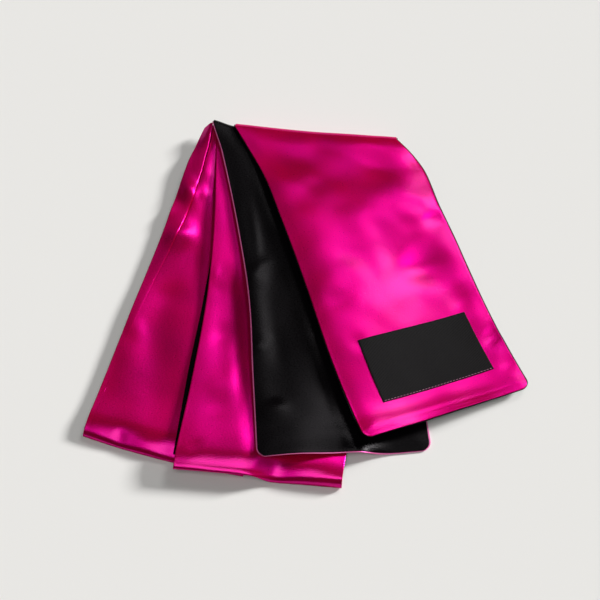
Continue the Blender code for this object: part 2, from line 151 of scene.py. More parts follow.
# Pleat of the lower stretch, from the back to the front fold: a ridge with a slit on its right
PLEAT = (
    # share of the way, ridge from the left side, ridge's height, slit's depth, height past the slit
    (0.00, 6.3, 6.8, 3.0, 3.0),
    (0.06, 9.8, 4.0, 2.6, 3.0),
    (0.14, 12.0, 2.4, 1.8, 2.3),
    (0.24, 12.6, 1.6, 0.9, 1.5),
    (0.36, 11.0, 1.7, 0.7, 1.3),
    (0.50, 7.6, 1.0, 0.4, 0.7),
    (0.66, 5.0, 0.5, 0.15, 0.3),
    (0.80, 4.0, 0.0, 0.0, 0.0),
    (1.00, 4.0, 0.0, 0.0, 0.0),
)
SLIT = (
    # distance from the ridge, share of the way down, share of the way up on the other side
    (0.10, 0.04, 0.0),
    (0.12, 0.15, 0.0),
    (0.00, 0.40, 0.0),
    (-0.25, 0.80, 0.0),
    (-0.10, 1.00, 0.0),
    (0.25, 1.00, 0.05),
    (0.60, 1.00, 0.30),
    (0.95, 1.00, 0.68),
    (1.25, 1.00, 0.92),
    (1.50, 1.00, 1.00),
)
SLIT_REACH = 15.0  # past the slit, the cloth comes down over this width
SLIT_FOOT = 5.0  # and the pleat's back end stops sticking out over this one
RIDGE_POWER = 1.3  # of the sine that the cloth follows up to the ridge
# Columns of its mesh: shares of the way up to the ridge, the number of steps across the cloth past
# the slit, and the last columns' distances from the right edge, as shares of the width there
RIDGE_COLUMNS = (0, 0.02, 0.06, 0.13, 0.22, 0.34, 0.47, 0.6, 0.72, 0.83, 0.92, 1.0)
FLAT_COLUMNS = 62
RIGHT_EDGE_STEPS = (0, 0.001, 0.004, 0.01)
PLEAT_WINDOW = 9  # rows over which the pleat's table is smoothed

# The cloth as it is drawn: thinner than the solids' walls
CLOTH = 0.55
BETWEEN = 0.07  # from the pink cloth to the black cloth of one stretch
SINK = 0.9  # how far smoothing may take the drawn cloth below the solid's top face
EDGE_DROOP, EDGE_REACH = 0.7, 7.0  # how far a side hangs down, and over what width
EDGE_TURN, HIDDEN_TURN = 0.95, 0.45  # rounding of a cloth's edge, as a share of its thickness
FLOOR_GAP = 0.05  # least room under the two cloths of a stretch
SHOWS_FROM = 11.0  # creases have their full height this far from the stretch that lies on them
SPACING = 1.7  # of the drawn mesh
HIDDEN_SPACING = 4.0
EDGE_STEPS = (0.0, 0.08, 0.25, 0.55, 1.0)  # first columns and rows at a rounded edge
HEM_STEPS = (*EDGE_STEPS[:-1], *np.linspace(1.0, 9.0, 15))  # and finer ones at the label's end
EDGE_LINES, EDGE_PULL = 14, 3.0  # lines of the mesh that may follow a moved edge, and how far in
CURVE_STEPS = 24  # points on a smooth curve from one section to the next
OUTLINE_ROWS, OUTLINE_FRONT = 25, 9  # points of a layer's outline along a side and its fold
LENGTH_ROWS = 60  # points along a stretch that its length is summed over
FOLD_STEPS = 22
LIP_STEPS = (0.35, 0.7, 1.0)  # rows along a lip, as shares of its length
WIDEST = 0.3  # share of a fold's height at which it reaches out furthest
FOLD_FROM = math.radians(60)  # where a drawn fold's arc starts, as the cloth already slopes there
RIPPLE_WAVES, RIPPLE_SIZE, RIPPLE_HEIGHT = 14, 24.0, 0.12
RIPPLE_SPREAD = (0.7, 1.9)  # shortest and longest wave, as shares of that size
RIPPLE_DIVISOR = 5  # of the waves' sum


# Creases of each stretch. Across and along are the distances of a crease's middle from the left
# side and from the front end. The angle is from the stretch's length, clockwise from above. A
# trough's height is below 0. The bow is how far the ends bend to the side.
TOP_CREASES = (
    # across, along, angle, length, width, height, bow
    (59, 6.4, 91, 300, 1.3, -0.05, 0),
    (60, 178, 88, 300, 30, 2.2, 0),
    (62, -4, 95, 260, 15, 3.8, 0),
    (10, 110, 180, 320, 50, 4.6, 0),
    (14, 209, 86, 70, 18, 2.4, 0),
    (122, 120, 180, 280, 28, 3.8, 0),
    (88, 221, 69, 45, 12, -1, 0),
    (98, 177, 88, 28, 9, -0.5, 0),
    (85, 117, 91, 66, 14, -2.3, 0),
    (103, 83, 114, 23, 9, -0.5, 0),
    (89, 254, 72, 61, 9, 0.4, 0),
    (19, 106, 116, 32, 10, -0.7, 0),
    (41, 140, 115, 35, 9, -0.5, 0),
    (33, 205, 101, 28, 9, -0.4, 0),
    (21, 71, 96, 17, 6, -0.4, 0),
    (111, 47, 134, 19, 9, -0.9, 0),
    (111, 23, 122, 15, 7, -0.4, 0),
    (21, 148, 4, 128, 12, 0.7, -3),
    (97, 167, 3, 128, 9, 0.3, 2),
    (54, 248, 79, 32, 10, -0.6, 0),
    (108, 160, 124, 21, 9, -0.6, 0),
)
END_CREASES = (
    # across, along, angle, length, width, height, bow
    (3, 120, 0, 300, 9, 2.4, 0),
    (20, 170, 92, 120, 22, -0.8, 0),
    (40, 215, 2, 150, 20, 2.4, 0),
    (13, 149, 51, 24, 6, 0.8, 0),
    (8, 89, 54, 17, 6, 0.6, 0),
    (16, 36, 59, 17, 6, 0.6, 0),
    (12, 176, 2, 87, 3, 0.6, -1),
    (17, 86, 172, 93, 5, -0.4, 0),
    (3, 216, 6, 56, 4, -0.3, 0),
    (40, 87, 89, 34, 9, 0.5, 0),
    (60, 14, 94, 64, 8, 0.5, 0),
    (6, 140, 174, 25, 8, 1.1, 0),
    (3, 82, 176, 13, 5, 1, 0),
    (11, 32, 171, 24, 8, 1.1, 0),
)
MIDDLE_CREASES = (
    # across, along, angle, length, width, height, bow
    (1, 120, 180, 300, 8, 1.4, 0),
    (25, 115, 92, 240, 42, -1.3, 0),
    (40, 28, 92, 240, 24, 1.2, 0),
    (20, 150, 95, 200, 16, 0.7, 0),
    (1, 208, 178, 74, 5, 0.4, 0),
    (4, 143, 96, 7, 5, 0.35, 0),
    (7, 131, 90, 14, 6, -0.3, 0),
    (17, 90, 173, 88, 7, -0.5, 2),
    (27, 66, 173, 68, 6, 0.6, 0),
    (18, 57, 105, 26, 8, 0.6, 0),
    (11, 11, 125, 13, 5, -0.5, 0),
    (53, 10, 160, 21, 3.2, -1.1, 0),
    (60, 5, 149, 12, 3.5, 1.2, 0),
    (84, 11, 94, 32, 5, 0.6, 0),
    (29, 77, 167, 158, 6, -0.9, 0),
    (15, 97, 97, 24, 9, -0.8, 0),
    (24, 40, 94, 30, 9, -0.5, 0),
)
LOWER_CREASES = (
    # across, along, angle, length, width, height, bow
    (16, 100, 178, 300, 14, -0.8, 0),
    (-2, 214, 0, 46, 8, 2.4, 0),
    (-1, 172, 0, 22, 6, 1.3, 0),
    (28, 139, 158, 68, 9, -0.5, 2),
    (2, 95, 177, 72, 7, 0.4, 0),
    (4, 41, 173, 67, 6, -0.35, 0),
    (24, 2, 108, 12, 3, -0.6, 0),
    (42, 0, 90, 30, 5, 0.8, 0),
    (24, 76, 166, 156, 12, -1.6, 0),
    (22, 108, 62, 27, 8, -0.5, 0),
    (24, 31, 88, 34, 10, 0.5, 0),
    (8, 190, 60, 17, 10, 2.5, 0),
    (18, 207, 67, 13, 5, 1, 0),
    (20, 190, 65, 13, 5, 0.9, 0),
    (14, 154, 63, 32, 9, 2.3, 0),
    (8, 78, 62, 18, 9, 0.5, 0),
)


def smoothstep(value, start, end):
    """0 at the start and 1 at the end, easing in and out."""
    t = np.clip((value - start) / (end - start), 0, 1)
    return t * t * (3 - 2 * t)


def fall(distance, reach):
    """1 at no distance, easing down to 0 at the reach."""
    return 0.5 * (1 + np.cos(np.pi * np.clip(distance / reach, 0, 1)))


def through(sections, where):
    """Rows of a smooth curve through the sections, at these shares of its length."""
    knots = np.array(sections, float)
    knots = np.vstack([2 * knots[0] - knots[1], knots, 2 * knots[-1] - knots[-2]])
    t = np.linspace(0, 1, CURVE_STEPS, endpoint=False)[:, None]
    pieces = []
    for a, b, c, d in zip(knots, knots[1:], knots[2:], knots[3:]):
        slope_b, slope_c = (c - a) / 2, (d - b) / 2
        pieces.append(
            (2 * t**3 - 3 * t**2 + 1) * b
            + (t**3 - 2 * t**2 + t) * slope_b
            + (3 * t**2 - 2 * t**3) * c
            + (t**3 - t**2) * slope_c
        )
    fine = np.vstack(pieces + [knots[-2][None]])
    length = np.concatenate([[0], np.cumsum(np.linalg.norm(np.diff(fine, axis=0), axis=1))])
    at = np.asarray(where) * length[-1]
    return np.column_stack([np.interp(at, length, fine[:, i]) for i in range(4)])


def distance_to(outline, points):
    """Distance in plan from each point to a closed outline, 0 inside it."""
    start, end = outline, np.roll(outline, -1, axis=0)
    side = end - start
    rel = points[:, None, :] - start
    t = np.clip((rel * side).sum(2) / np.maximum((side * side).sum(1), 1e-9), 0, 1)
    gap = np.linalg.norm(rel - t[..., None] * side, axis=2).min(1)
    x, y = points[:, :1], points[:, 1:]
    crosses = (start[:, 1] > y) != (end[:, 1] > y)
    rise = np.where(side[:, 1] == 0, 1, side[:, 1])
    inside = (crosses & (x < start[:, 0] + (y - start[:, 1]) * side[:, 0] / rise)).sum(1) % 2
    return np.where(inside, 0, gap)


def fold_normal(sections):
    """Unit vector in plan, out of the pile, at right angles to the line where the fold starts."""
    left, right = np.array(sections[-1][:2]), np.array(sections[-1][2:])
    along = (right - left) / np.linalg.norm(right - left)
    normal = np.array([-along[1], along[0]])
    inward = np.array(sections[-2][:2]) - left
    return normal if normal @ inward < 0 else -normal


def bow_at(layer, across, along):
    """How far the bow of a stretch's fold moves the points at these shares of its plan."""
    return layer.bow * 4 * across * (1 - across) * along**4


class Layer:
    """One stretch in the pile: its plan, and the room that it takes."""

    def __init__(self, sections, room, fold=0.0, loop=None, bow=0.0, falls=None):
        self.sections = sections
        self.room, self.loop, self.bow = room, loop, bow
        # For each layer below: how far past its edge this one stays up, and how far it then takes
        # to come down
        self.falls = falls
        self.normal = fold_normal(sections)
        rows = through(sections, np.linspace(0, 1, OUTLINE_ROWS))
        across = np.linspace(0, 1, OUTLINE_FRONT)
        out = fold + bow_at(self, across, 1)
        front = rows[-1, :2] + (rows[-1, 2:] - rows[-1, :2]) * across[:, None]
        front += self.normal * out[:, None]
        self.outline = np.vstack([rows[:, :2], front, rows[::-1, 2:]])
        self.fold_line = rows[-1]
        side = through(sections, np.linspace(0, 1, LENGTH_ROWS))
        self.length = np.linalg.norm(np.diff(side, axis=0)[:, :2], axis=1).sum()

    def lift(self, points):
        """How far this layer lifts what lies on it, at these points of the plan."""
        room = np.full(len(points), float(self.room))
        if self.loop:
            room += self.loop(self, points)
        return room

    def from_fold(self, points):
        """Distance of these points from the line where the fold starts."""
        return np.maximum(0, (self.fold_line[:2] - points) @ self.normal)


def lower_loop(layer, points):
    """How far the loop inside the lower stretch's fold lifts it."""
    return LOWER_LOOP * fall(layer.from_fold(points), LOWER_LOOP_LENGTH)


def middle_loop(layer, points):
    """The same in the middle stretch, which stands higher where nothing lies under it."""
    free = smoothstep(points[:, 0], MIDDLE_FREE_FROM, MIDDLE_FREE_TO)
    height = MIDDLE_LOOP + (MIDDLE_LOOP_FREE - MIDDLE_LOOP) * free
    return height * fall(layer.from_fold(points), MIDDLE_LOOP_LENGTH)


def top_rise(layer, points):
    """How far the top stretch stands off what lies under it, towards its right side."""
    return TOP_RISE * smoothstep(points[:, 0], TOP_RISE_FROM, TOP_RISE_TO)


BASE = Layer(BASE_SECTIONS, WALL + REST)
INNER = Layer(INNER_SECTIONS, INNER_THICK + REST)
HIDDEN = BASE.room + INNER.room  # height at which the lower stretch lies
LOWER = Layer(
    LOWER_SECTIONS, HIDDEN + PAIR + REST, LOWER_FOLD, loop=lower_loop, bow=LOWER_BOW
)
RETURN = Layer(RETURN_SECTIONS, WALL + REST, RETURN_FOLD, falls={LOWER: (3, 12)})
MIDDLE = Layer(
    MIDDLE_SECTIONS, PAIR + REST, MIDDLE_FOLD, loop=middle_loop,
    falls={LOWER: (5, 14), RETURN: (5, 14)},
)
END = Layer(
    END_SECTIONS, PAIR + REST, END_FOLD, falls={LOWER: (8, 50), RETURN: (8, 15), MIDDLE: (8, 15)}
)
TOP = Layer(
    TOP_SECTIONS, PAIR + REST, TOP_FOLD, loop=top_rise, bow=TOP_BOW,
    falls={LOWER: (11, 95), RETURN: (11, 65), MIDDLE: (11, 65), END: (11, 38)},
)
PILE = (LOWER, RETURN, MIDDLE, END, TOP)


def height_under(layer, points, over=None):
    """Height of the pile below this layer, as its cloth lies on it, or below another one."""
    if layer is LOWER:
        return np.full(len(points), HIDDEN)
    total = np.zeros(len(points))
    for below, (margin, reach) in layer.falls.items():
        if below is over:
            break
        gap = np.maximum(0, distance_to(below.outline, points) - margin)
        total += below.lift(points) * fall(gap, reach)
    return total


def uncovered(layer, points):
    """1 where the stretch shows, easing to 0 where another one lies on it."""
    share = np.ones(len(points))
    for above in PILE[PILE.index(layer) + 1 :]:
        share *= smoothstep(distance_to(above.outline, points), 0.0, SHOWS_FROM)
    return share


def steps(size, spacing, start=EDGE_STEPS, end=EDGE_STEPS):
    """Distances across a size, closer together at its rounded edges."""
    first, last = start[-1], end[-1]
    middle = np.linspace(first, size - last, max(2, round((size - first - last) / spacing)) + 1)
    return np.concatenate([start[:-1], middle, size - np.array(end[:-1])[::-1]])


class Plan:
    """The plan of a stretch as a fine grid. Rows run from its first section to its fold."""

    def __init__(self, layer, width, spacing, corner=0.0, first_edge=EDGE_STEPS, ear=False):
        self.layer = layer
        along = steps(layer.length, spacing, first_edge, (0.0,))
        across = steps(width, spacing)
        rows = through(layer.sections, along / layer.length)
        inset = np.zeros(len(along))
        if corner:
            left = np.clip(corner - along, 0, corner)
            inset = corner - np.sqrt(corner**2 - left**2)
        share = across / width
        grid = []
        for row, part, drawn in zip(rows, along / layer.length, inset):
            edge = drawn / np.linalg.norm(row[2:] - row[:2])
            at = edge + (1 - 2 * edge) * share
            points = row[:2] + (row[2:] - row[:2]) * at[:, None]
            grid.append(points + layer.normal * bow_at(layer, at, part)[:, None])
        self.points = np.array(grid)
        self.lifted = np.zeros(self.points.shape[:2])
        if ear:
            self.add_end_ear()
        self.from_left = np.tile(across, (len(along), 1))
        self.from_right = width - self.from_left
        self.along = np.tile(along[:, None], (1, len(across)))
        self.width = width

    def add_end_ear(self):
        """Pull the left back corner out of the pile and mark how far it is lifted."""
        points = self.points
        from_corner = np.linalg.norm(points - points[:, :1], axis=2)
        from_back = np.linalg.norm(points - points[-1:], axis=2)
        self.lifted = fall(from_corner, END_EAR_WIDTH) * fall(from_back, END_EAR_DEPTH)
        points[..., 1] += END_EAR * self.lifted
        points[..., 0] -= END_EAR_LEAN * self.lifted


def evened(values):
    """Values along the pleat, smoothed over their neighbours."""
    weights = np.exp(-np.linspace(-2, 2, PLEAT_WINDOW) ** 2)
    padded = np.pad(values, PLEAT_WINDOW // 2, mode="edge")
    return np.convolve(padded, weights / weights.sum(), mode="valid")


def pleated_plan(layer, width, spacing):
    """The lower stretch's plan, with columns up its pleat and on through the slit, and their lift."""
    plan = Plan(layer, width, spacing)
    share = plan.along[:, 0] / layer.length
    where, *columns = np.array(PLEAT).T
    shaped = [evened(np.interp(share, where, values)) for values in columns]
    rise = np.array(RIDGE_COLUMNS)
    slit, down, up = np.array(SLIT).T
    flat = steps(1, 1 / FLAT_COLUMNS, (0,), RIGHT_EDGE_STEPS)[1:]
    rows = through(layer.sections, share)
    grid, extra, left = [], [], []
    for row, part, at_ridge, top, deep, beside in zip(rows, share, *shaped):
        size = np.linalg.norm(row[2:] - row[:2])
        foot = at_ridge + slit[-1]
        across = np.concatenate([rise * at_ridge, at_ridge + slit, foot + flat * (size - foot)])
        lift = np.concatenate([
            top * np.sin(rise * np.pi / 2) ** RIDGE_POWER,
            top - deep * down + (deep + beside - top) * up,
            beside * (1 - smoothstep(flat * (size - foot), 0, SLIT_REACH)),
        ])
        points = row[:2] + (row[2:] - row[:2]) * (across / size)[:, None]
        points += layer.normal * bow_at(layer, across / size, part)[:, None]
        ear = PLEAT_EAR * fall(part * STRETCH_LENGTH, PLEAT_EAR_DEPTH)
        points[:, 1] += ear * (1 - smoothstep(across, foot, foot + SLIT_FOOT))
        grid.append(points)
        extra.append(lift)
        left.append(across)
    plan.points, plan.from_left = np.array(grid), np.array(left)
    plan.from_right = np.linalg.norm(rows[:, 2:] - rows[:, :2], axis=1)[:, None] - plan.from_left
    plan.along = np.tile(plan.along[:, :1], (1, plan.points.shape[1]))
    plan.lifted = np.zeros(plan.points.shape[:2])
    return plan, np.array(extra)


def smoothed(height, floor, passes):
    """Heights evened out over their neighbours, but never below a floor."""
    for _ in range(passes):
        for axis in (0, 1):
            padded = np.pad(height, [(1, 1) if a == axis else (0, 0) for a in (0, 1)], mode="edge")
            low = padded[:-2] if axis == 0 else padded[:, :-2]
            high = padded[2:] if axis == 0 else padded[:, 2:]
            height = 0.5 * height + 0.25 * (low + high)
        height = np.maximum(height, floor)
    return height


def crease_heights(creases, left, front):
    """Summed height of the creases at these distances from the left side and the front end."""
    total = np.zeros(left.shape)
    for across, along, angle, length, width, height, bow in creases:
        turn = math.radians(angle)
        x, y = left - across, front - along
        run = x * math.sin(turn) + y * math.cos(turn)
        off = x * math.cos(turn) - y * math.sin(turn)
        off = off - bow * (run / (length / 2)) ** 2
        total += height * np.exp(-((off / width) ** 2)) * fall(np.abs(run), length / 2)
    return total


def ripple(left, front, seed):
    """Gentle unevenness, the same on each run."""
    chance = np.random.default_rng(seed)
    total = np.zeros(left.shape)
    for _ in range(RIPPLE_WAVES):
        angle = chance.uniform(0, np.pi)
        wave = RIPPLE_SIZE * chance.uniform(*RIPPLE_SPREAD)
        phase = chance.uniform(0, 2 * np.pi)
        run = left * np.cos(angle) + front * np.sin(angle)
        total += np.sin(2 * np.pi * run / wave + phase) * wave / RIPPLE_SIZE
    return RIPPLE_HEIGHT * total / RIPPLE_DIVISOR


class Stretch:
    """A stretch's cloth: along the pile, round its fold, and back under as a lip.

    The fold comes down to the layer given as its bottom, or to the floor. The roll is how far the
    cloth slopes down before its fold, and over what length. Passes is how often it is smoothed.
    """

    def __init__(self, plan, fold, creases, seed, bottom=None, thick=PAIR, extra=0, passes=20,
                 front_first=True, roll=(0, 1)):
        self.layer, self.plan = plan.layer, plan
        self.fold = np.broadcast_to(fold, plan.points.shape[1])
        self.bottom = bottom
        flat = plan.points.reshape(-1, 2)
        shape = plan.points.shape[:2]
        height = height_under(self.layer, flat) + thick
        if self.layer.loop:
            height += self.layer.loop(self.layer, flat)
        height = height.reshape(shape)
        height = smoothed(height, height - SINK, passes) + extra + END_EAR_RISE * plan.lifted
        height -= self.rolled_down(*roll)
        self.front = plan.along if front_first else self.layer.length - plan.along
        shows = uncovered(self.layer, flat).reshape(shape)
        marks = crease_heights(creases, plan.from_left, self.front)
        marks += ripple(plan.from_left, self.front, seed)
        height += marks * shows
        near = np.minimum(plan.from_left, plan.from_right)
        self.from_edge = np.minimum(near, plan.along) if front_first else near
        height -= EDGE_DROOP * np.exp(-((self.from_edge / EDGE_REACH) ** 2))
        self.height = np.maximum(height, 2 * CLOTH + BETWEEN + FLOOR_GAP)

    def rolled_down(self, most, reach):
        """How far the cloth slopes down before its fold: half as far at the sides."""
        to_fold = (self.layer.length - self.plan.along) / reach
        share = self.plan.from_left / self.plan.width
        dip = 0.5 + 2.0 * share * (1 - share)
        return most * dip * np.clip(1 - to_fold, 0, 1) ** 2

    def lying(self, depth, rounded=0.0):
        """Points this far below the top face. A rounded face turns down at the edges."""
        drop = 0.0
        if rounded:
            size = abs(rounded)
            share = 1 - np.clip(self.from_edge / size, 0, 1)
            drop = rounded * (1 - np.sqrt(1 - share**2))
        return np.dstack([self.plan.points, self.height - depth - drop])

    def under(self, plan):
        """Height that the fold comes down to: the floor, or what its lower half lies on."""
        if self.bottom is None:
            return np.zeros(len(plan))
        if self.bottom is LOWER:
            gap = np.maximum(0, distance_to(LOWER.outline, plan) - BACK_ROOM)
            return HIDDEN * fall(gap, BACK_REACH)
        return height_under(self.layer, plan, over=self.bottom)

    def folding(self, line, depth, lip):
        """Points round the fold and along the lip, this far inside the outer face."""
        top = line[:, 2] + depth
        points = []
        begin = np.sin(FOLD_FROM)
        for angle in np.linspace(FOLD_FROM, -np.pi / 2, FOLD_STEPS + 1)[1:]:
            above = angle > 0
            out = np.cos(angle)
            if above:
                out = (out - np.cos(FOLD_FROM)) / (1 - np.cos(FOLD_FROM))
            plan = line[:, :2] + self.layer.normal * ((self.fold - depth) * out)[:, None]
            under = self.under(plan)
            widest = under + WIDEST * (top - under)
            if above:
                height = widest + (top - depth - widest) * np.sin(angle) / begin
            else:
                height = widest + (widest - under - depth) * np.sin(angle)
            points.append(np.column_stack([plan, height]))
        for share in LIP_STEPS:
            plan = line[:, :2] - self.layer.normal * lip * share
            points.append(np.column_stack([plan, self.under(plan) + depth]))
        return np.array(points)

    def surface(self, depth, lip, rounded=0.0):
        """The whole grid at this depth: the lying part, the fold and the lip."""
        lying = self.lying(depth, rounded)
        if not lip:
            return lying
        return np.vstack([lying, self.folding(lying[-1], depth, lip)])


def pull_in(lines, amount):
    """Move the first point of each line in by an amount, and those after it less and less."""
    near = lines[:, :EDGE_LINES, :2]
    step = np.linalg.norm(np.diff(near, axis=1), axis=2)
    far = np.concatenate([np.zeros((len(lines), 1)), np.cumsum(step, axis=1)], axis=1)
    way = lines[:, EDGE_LINES, :2] - lines[:, 0, :2]
    way /= np.linalg.norm(way, axis=1, keepdims=True)
    near += way[:, None] * (amount * np.clip(1 - far / EDGE_PULL, 0, 1))[..., None]


def drawn_in(grid, amount):
    """The grid with its sides and free end moved in by an amount, easing off further in."""
    grid = grid.copy()
    pull_in(grid, amount)
    pull_in(grid[:, ::-1], amount)
    pull_in(grid.swapaxes(0, 1), amount)
    return grid


def uv_of(grid):
    """Distances along the cloth, in metres, for each point of a grid."""
    across = np.linalg.norm(np.diff(grid, axis=1), axis=2)
    across = np.concatenate([np.zeros((len(grid), 1)), np.cumsum(across, axis=1)], axis=1)
    along = np.linalg.norm(np.diff(grid, axis=0), axis=2)
    along = np.concatenate([np.zeros((1, grid.shape[1])), np.cumsum(along, axis=0)], axis=0)
    middle = across[:, across.shape[1] // 2][:, None]
    centre = along.mean(axis=1, keepdims=True)
    return np.dstack([across - middle, np.tile(centre, (1, grid.shape[1]))]) * MM


def mesh_of(name, levels, uv=None):
    """A closed mesh of a stack of grids, outermost face first."""
    rows, columns = levels[0].shape[:2]
    size = rows * columns
    points = np.concatenate([level.reshape(-1, 3) for level in levels])
    index = np.arange(size).reshape(rows, columns)
    a, b = index[:-1, :-1].ravel(), index[:-1, 1:].ravel()
    c, d = index[1:, 1:].ravel(), index[1:, :-1].ravel()
    far = (len(levels) - 1) * size
    faces = [np.column_stack([a, b, c, d]), np.column_stack([d, c, b, a]) + far]
    rim = np.concatenate([index[0], index[1:, -1], index[-1, -2::-1], index[-2:0:-1, 0]])
    after = np.roll(rim, -1)
    for level in range(len(levels) - 1):
        low = level * size
        faces.append(np.column_stack([after + low, rim + low, rim + low + size, after + low + size]))
    faces = np.concatenate(faces)
    middle = points.mean(axis=0)
    corner = points[faces]
    volume = ((corner[:, 0] - middle) * np.cross(corner[:, 1] - middle, corner[:, 2] - middle)).sum()
    if volume < 0:
        faces = faces[:, ::-1]
    mesh = bpy.data.meshes.new(name)
    mesh.from_pydata(((points + PLAN_ORIGIN) * MM).tolist(), [], faces.tolist())
    flat = np.tile((uv if uv is not None else uv_of(levels[0])).reshape(-1, 2), (len(levels), 1))
    layer = mesh.uv_layers.new(name="cloth")
    corners = np.zeros(len(mesh.loops), np.int32)
    mesh.loops.foreach_get("vertex_index", corners)
    layer.data.foreach_set("uv", flat[corners].ravel())
    mesh.shade_smooth()
    mesh.update()
    return mesh


def add_piece(name, mesh, face, solid=None):
    """A visible piece with its finish, in place of the solid that it stands for. The slot that comes
    with the finish is not used.
    """
    finish, slot = face
    mesh.materials.append(finish)
    piece = bpy.data.objects.new(name, mesh)
    bpy.context.collection.objects.link(piece)
    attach(piece, "root")
    if solid:
        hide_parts(solid)
    return piece


def node(tree, kind, inputs=None, **settings):
    """A shader node with its settings and inputs. An input is a value or another's output."""
    made = tree.nodes.new(kind)
    for name, value in settings.items():
        setattr(made, name, value)
    for name, value in (inputs or {}).items():
        socket = made.inputs[name]
        if isinstance(value, bpy.types.NodeSocket):
            tree.links.new(value, socket)
        else:
            socket.default_value = value
    return made


def mapped(tree, source, scale):
    """These coordinates, scaled."""
    return node(tree, "ShaderNodeMapping", {"Vector": source, "Scale": scale}).outputs["Vector"]


def noise(tree, source, scale, detail, dimensions="2D"):
    """A noise texture in these coordinates."""
    inputs = {"Vector": mapped(tree, source, scale), "Scale": 1.0, "Detail": detail}
    return node(tree, "ShaderNodeTexNoise", inputs, noise_dimensions=dimensions).outputs["Fac"]


# Scale of each texture to the metre, across the cloth and along it
THREADS = (2600, 240, 1)
SLUBS = (900, 1300, 1)
RIBS = (330, 330, 1)
CROSS_THREADS = (600, 1600, 1)
DRIFT = (28, 28, 28)  # the slow change of shade, along the three axes
SLUB_SHARE = 0.7  # weight of the slubs in the satin's shade, where the drift has 1
WEAVE_DARK = 0.55  # colour of the weave's dark places, as a share of its own


def satin(name, deep, bright, gloss, ior, roughness, uneven, glaze):
    """Satin: long floats that shine along one direction, with fine threads and slubs.

    Deep and bright are its darkest and palest shade, gloss the colour of its shine, uneven how far
    its roughness varies, and glaze the share of a clear second shine.
    """
    made = bpy.data.materials.new(name)
    made.use_nodes = True
    tree = made.node_tree
    shader = tree.nodes["Principled BSDF"]
    place = node(tree, "ShaderNodeUVMap", uv_map="cloth").outputs["UV"]
    solid = node(tree, "ShaderNodeTexCoord").outputs["Object"]
    threads = noise(tree, place, THREADS, 2.0)
    slubs = noise(tree, place, SLUBS, 1.0)
    drift = noise(tree, solid, DRIFT, 2.0, "3D")
    grain = node(
        tree, "ShaderNodeMath", {0: slubs, 1: SLUB_SHARE, 2: drift}, operation="MULTIPLY_ADD"
    ).outputs["Value"]
    shade = node(tree, "ShaderNodeMapRange", {"Value": grain, "From Min": 0.5, "From Max": 1.2})
    colour = node(
        tree, "ShaderNodeMix", {"Factor": shade.outputs["Result"], "A": deep, "B": bright},
        data_type="RGBA",
    )
    rough = node(
        tree, "ShaderNodeMapRange",
        {"Value": slubs, "To Min": roughness - uneven, "To Max": roughness + uneven},
    )
    fine = node(
        tree, "ShaderNodeBump", {"Strength": 0.25, "Distance": 0.00004, "Height": threads}
    )
    bump = node(
        tree, "ShaderNodeBump",
        {"Strength": 0.45, "Distance": 0.0001, "Height": slubs, "Normal": fine.outputs["Normal"]},
    )
    tree.links.new(colour.outputs["Result"], shader.inputs["Base Color"])
    tree.links.new(rough.outputs["Result"], shader.inputs["Roughness"])
    tree.links.new(bump.outputs["Normal"], shader.inputs["Normal"])
    tangent = node(tree, "ShaderNodeTangent", direction_type="UV_MAP", uv_map="cloth")
    tree.links.new(tangent.outputs["Tangent"], shader.inputs["Tangent"])
    shader.inputs["Anisotropic"].default_value = 0.8
    shader.inputs["IOR"].default_value = ior
    shader.inputs["Specular IOR Level"].default_value = 1.0
    shader.inputs["Specular Tint"].default_value = gloss
    shader.inputs["Coat Weight"].default_value = glaze
    shader.inputs["Coat Roughness"].default_value = 0.15
    tree.links.new(bump.outputs["Normal"], shader.inputs["Coat Normal"])
    return made


def woven(name, colour):
    """The plain weave of the label and the thread: matt ribs with a fine cross thread."""
    made = bpy.data.materials.new(name)
    made.use_nodes = True
    tree = made.node_tree
    shader = tree.nodes["Principled BSDF"]
    place = node(tree, "ShaderNodeUVMap", uv_map="cloth").outputs["UV"]
    ribs = node(
        tree, "ShaderNodeTexWave", {"Vector": mapped(tree, place, RIBS), "Scale": 1.0},
        wave_type="BANDS", bands_direction="X",
    ).outputs["Fac"]
    cross = noise(tree, place, CROSS_THREADS, 2.0)
    height = node(tree, "ShaderNodeMath", {0: ribs, 1: cross}, operation="ADD").outputs["Value"]
    bump = node(tree, "ShaderNodeBump", {"Strength": 0.6, "Distance": 0.0002, "Height": height})
    dark = tuple(WEAVE_DARK * value for value in colour[:3]) + (1,)
    mix = node(tree, "ShaderNodeMix", {"Factor": cross, "A": dark, "B": colour}, data_type="RGBA")
    tree.links.new(mix.outputs["Result"], shader.inputs["Base Color"])
    tree.links.new(bump.outputs["Normal"], shader.inputs["Normal"])
    shader.inputs["Roughness"].default_value = 0.75
    shader.inputs["Specular IOR Level"].default_value = 0.12
    return made


PINK = satin(
    "pink_satin_cloth", deep=(0.22, 0.0003, 0.008, 1), bright=(0.50, 0.0004, 0.024, 1),
    gloss=(1.0, 0.003, 0.42, 1), ior=2.6, roughness=0.31, uneven=0.06, glaze=0.16,
)
# Pink back of the end stretch, of which only the edges show: the pink satin painted paler, as a
# painted highlight along those edges
PINK_PAINTED_HIGHLIGHT = satin(
    "pink_satin_painted_highlight", deep=(0.62, 0.09, 0.26, 1), bright=(0.75, 0.20, 0.42, 1),
    gloss=(1.0, 0.15, 0.6, 1), ior=2.0, roughness=0.42, uneven=0.04, glaze=0.0,
)
BLACK = satin(
    "black_satin_cloth", deep=(0.0012, 0.0009, 0.0011, 1), bright=(0.0028, 0.0023, 0.0028, 1),
    gloss=(0.15, 0.135, 0.147, 1), ior=1.25, roughness=0.29, uneven=0.08, glaze=0.0,
)
LABEL_CLOTH = woven("woven_black_cloth", (0.007, 0.006, 0.0065, 1))
THREAD = woven("pale_pink_thread", (0.75, 0.30, 0.50, 1))

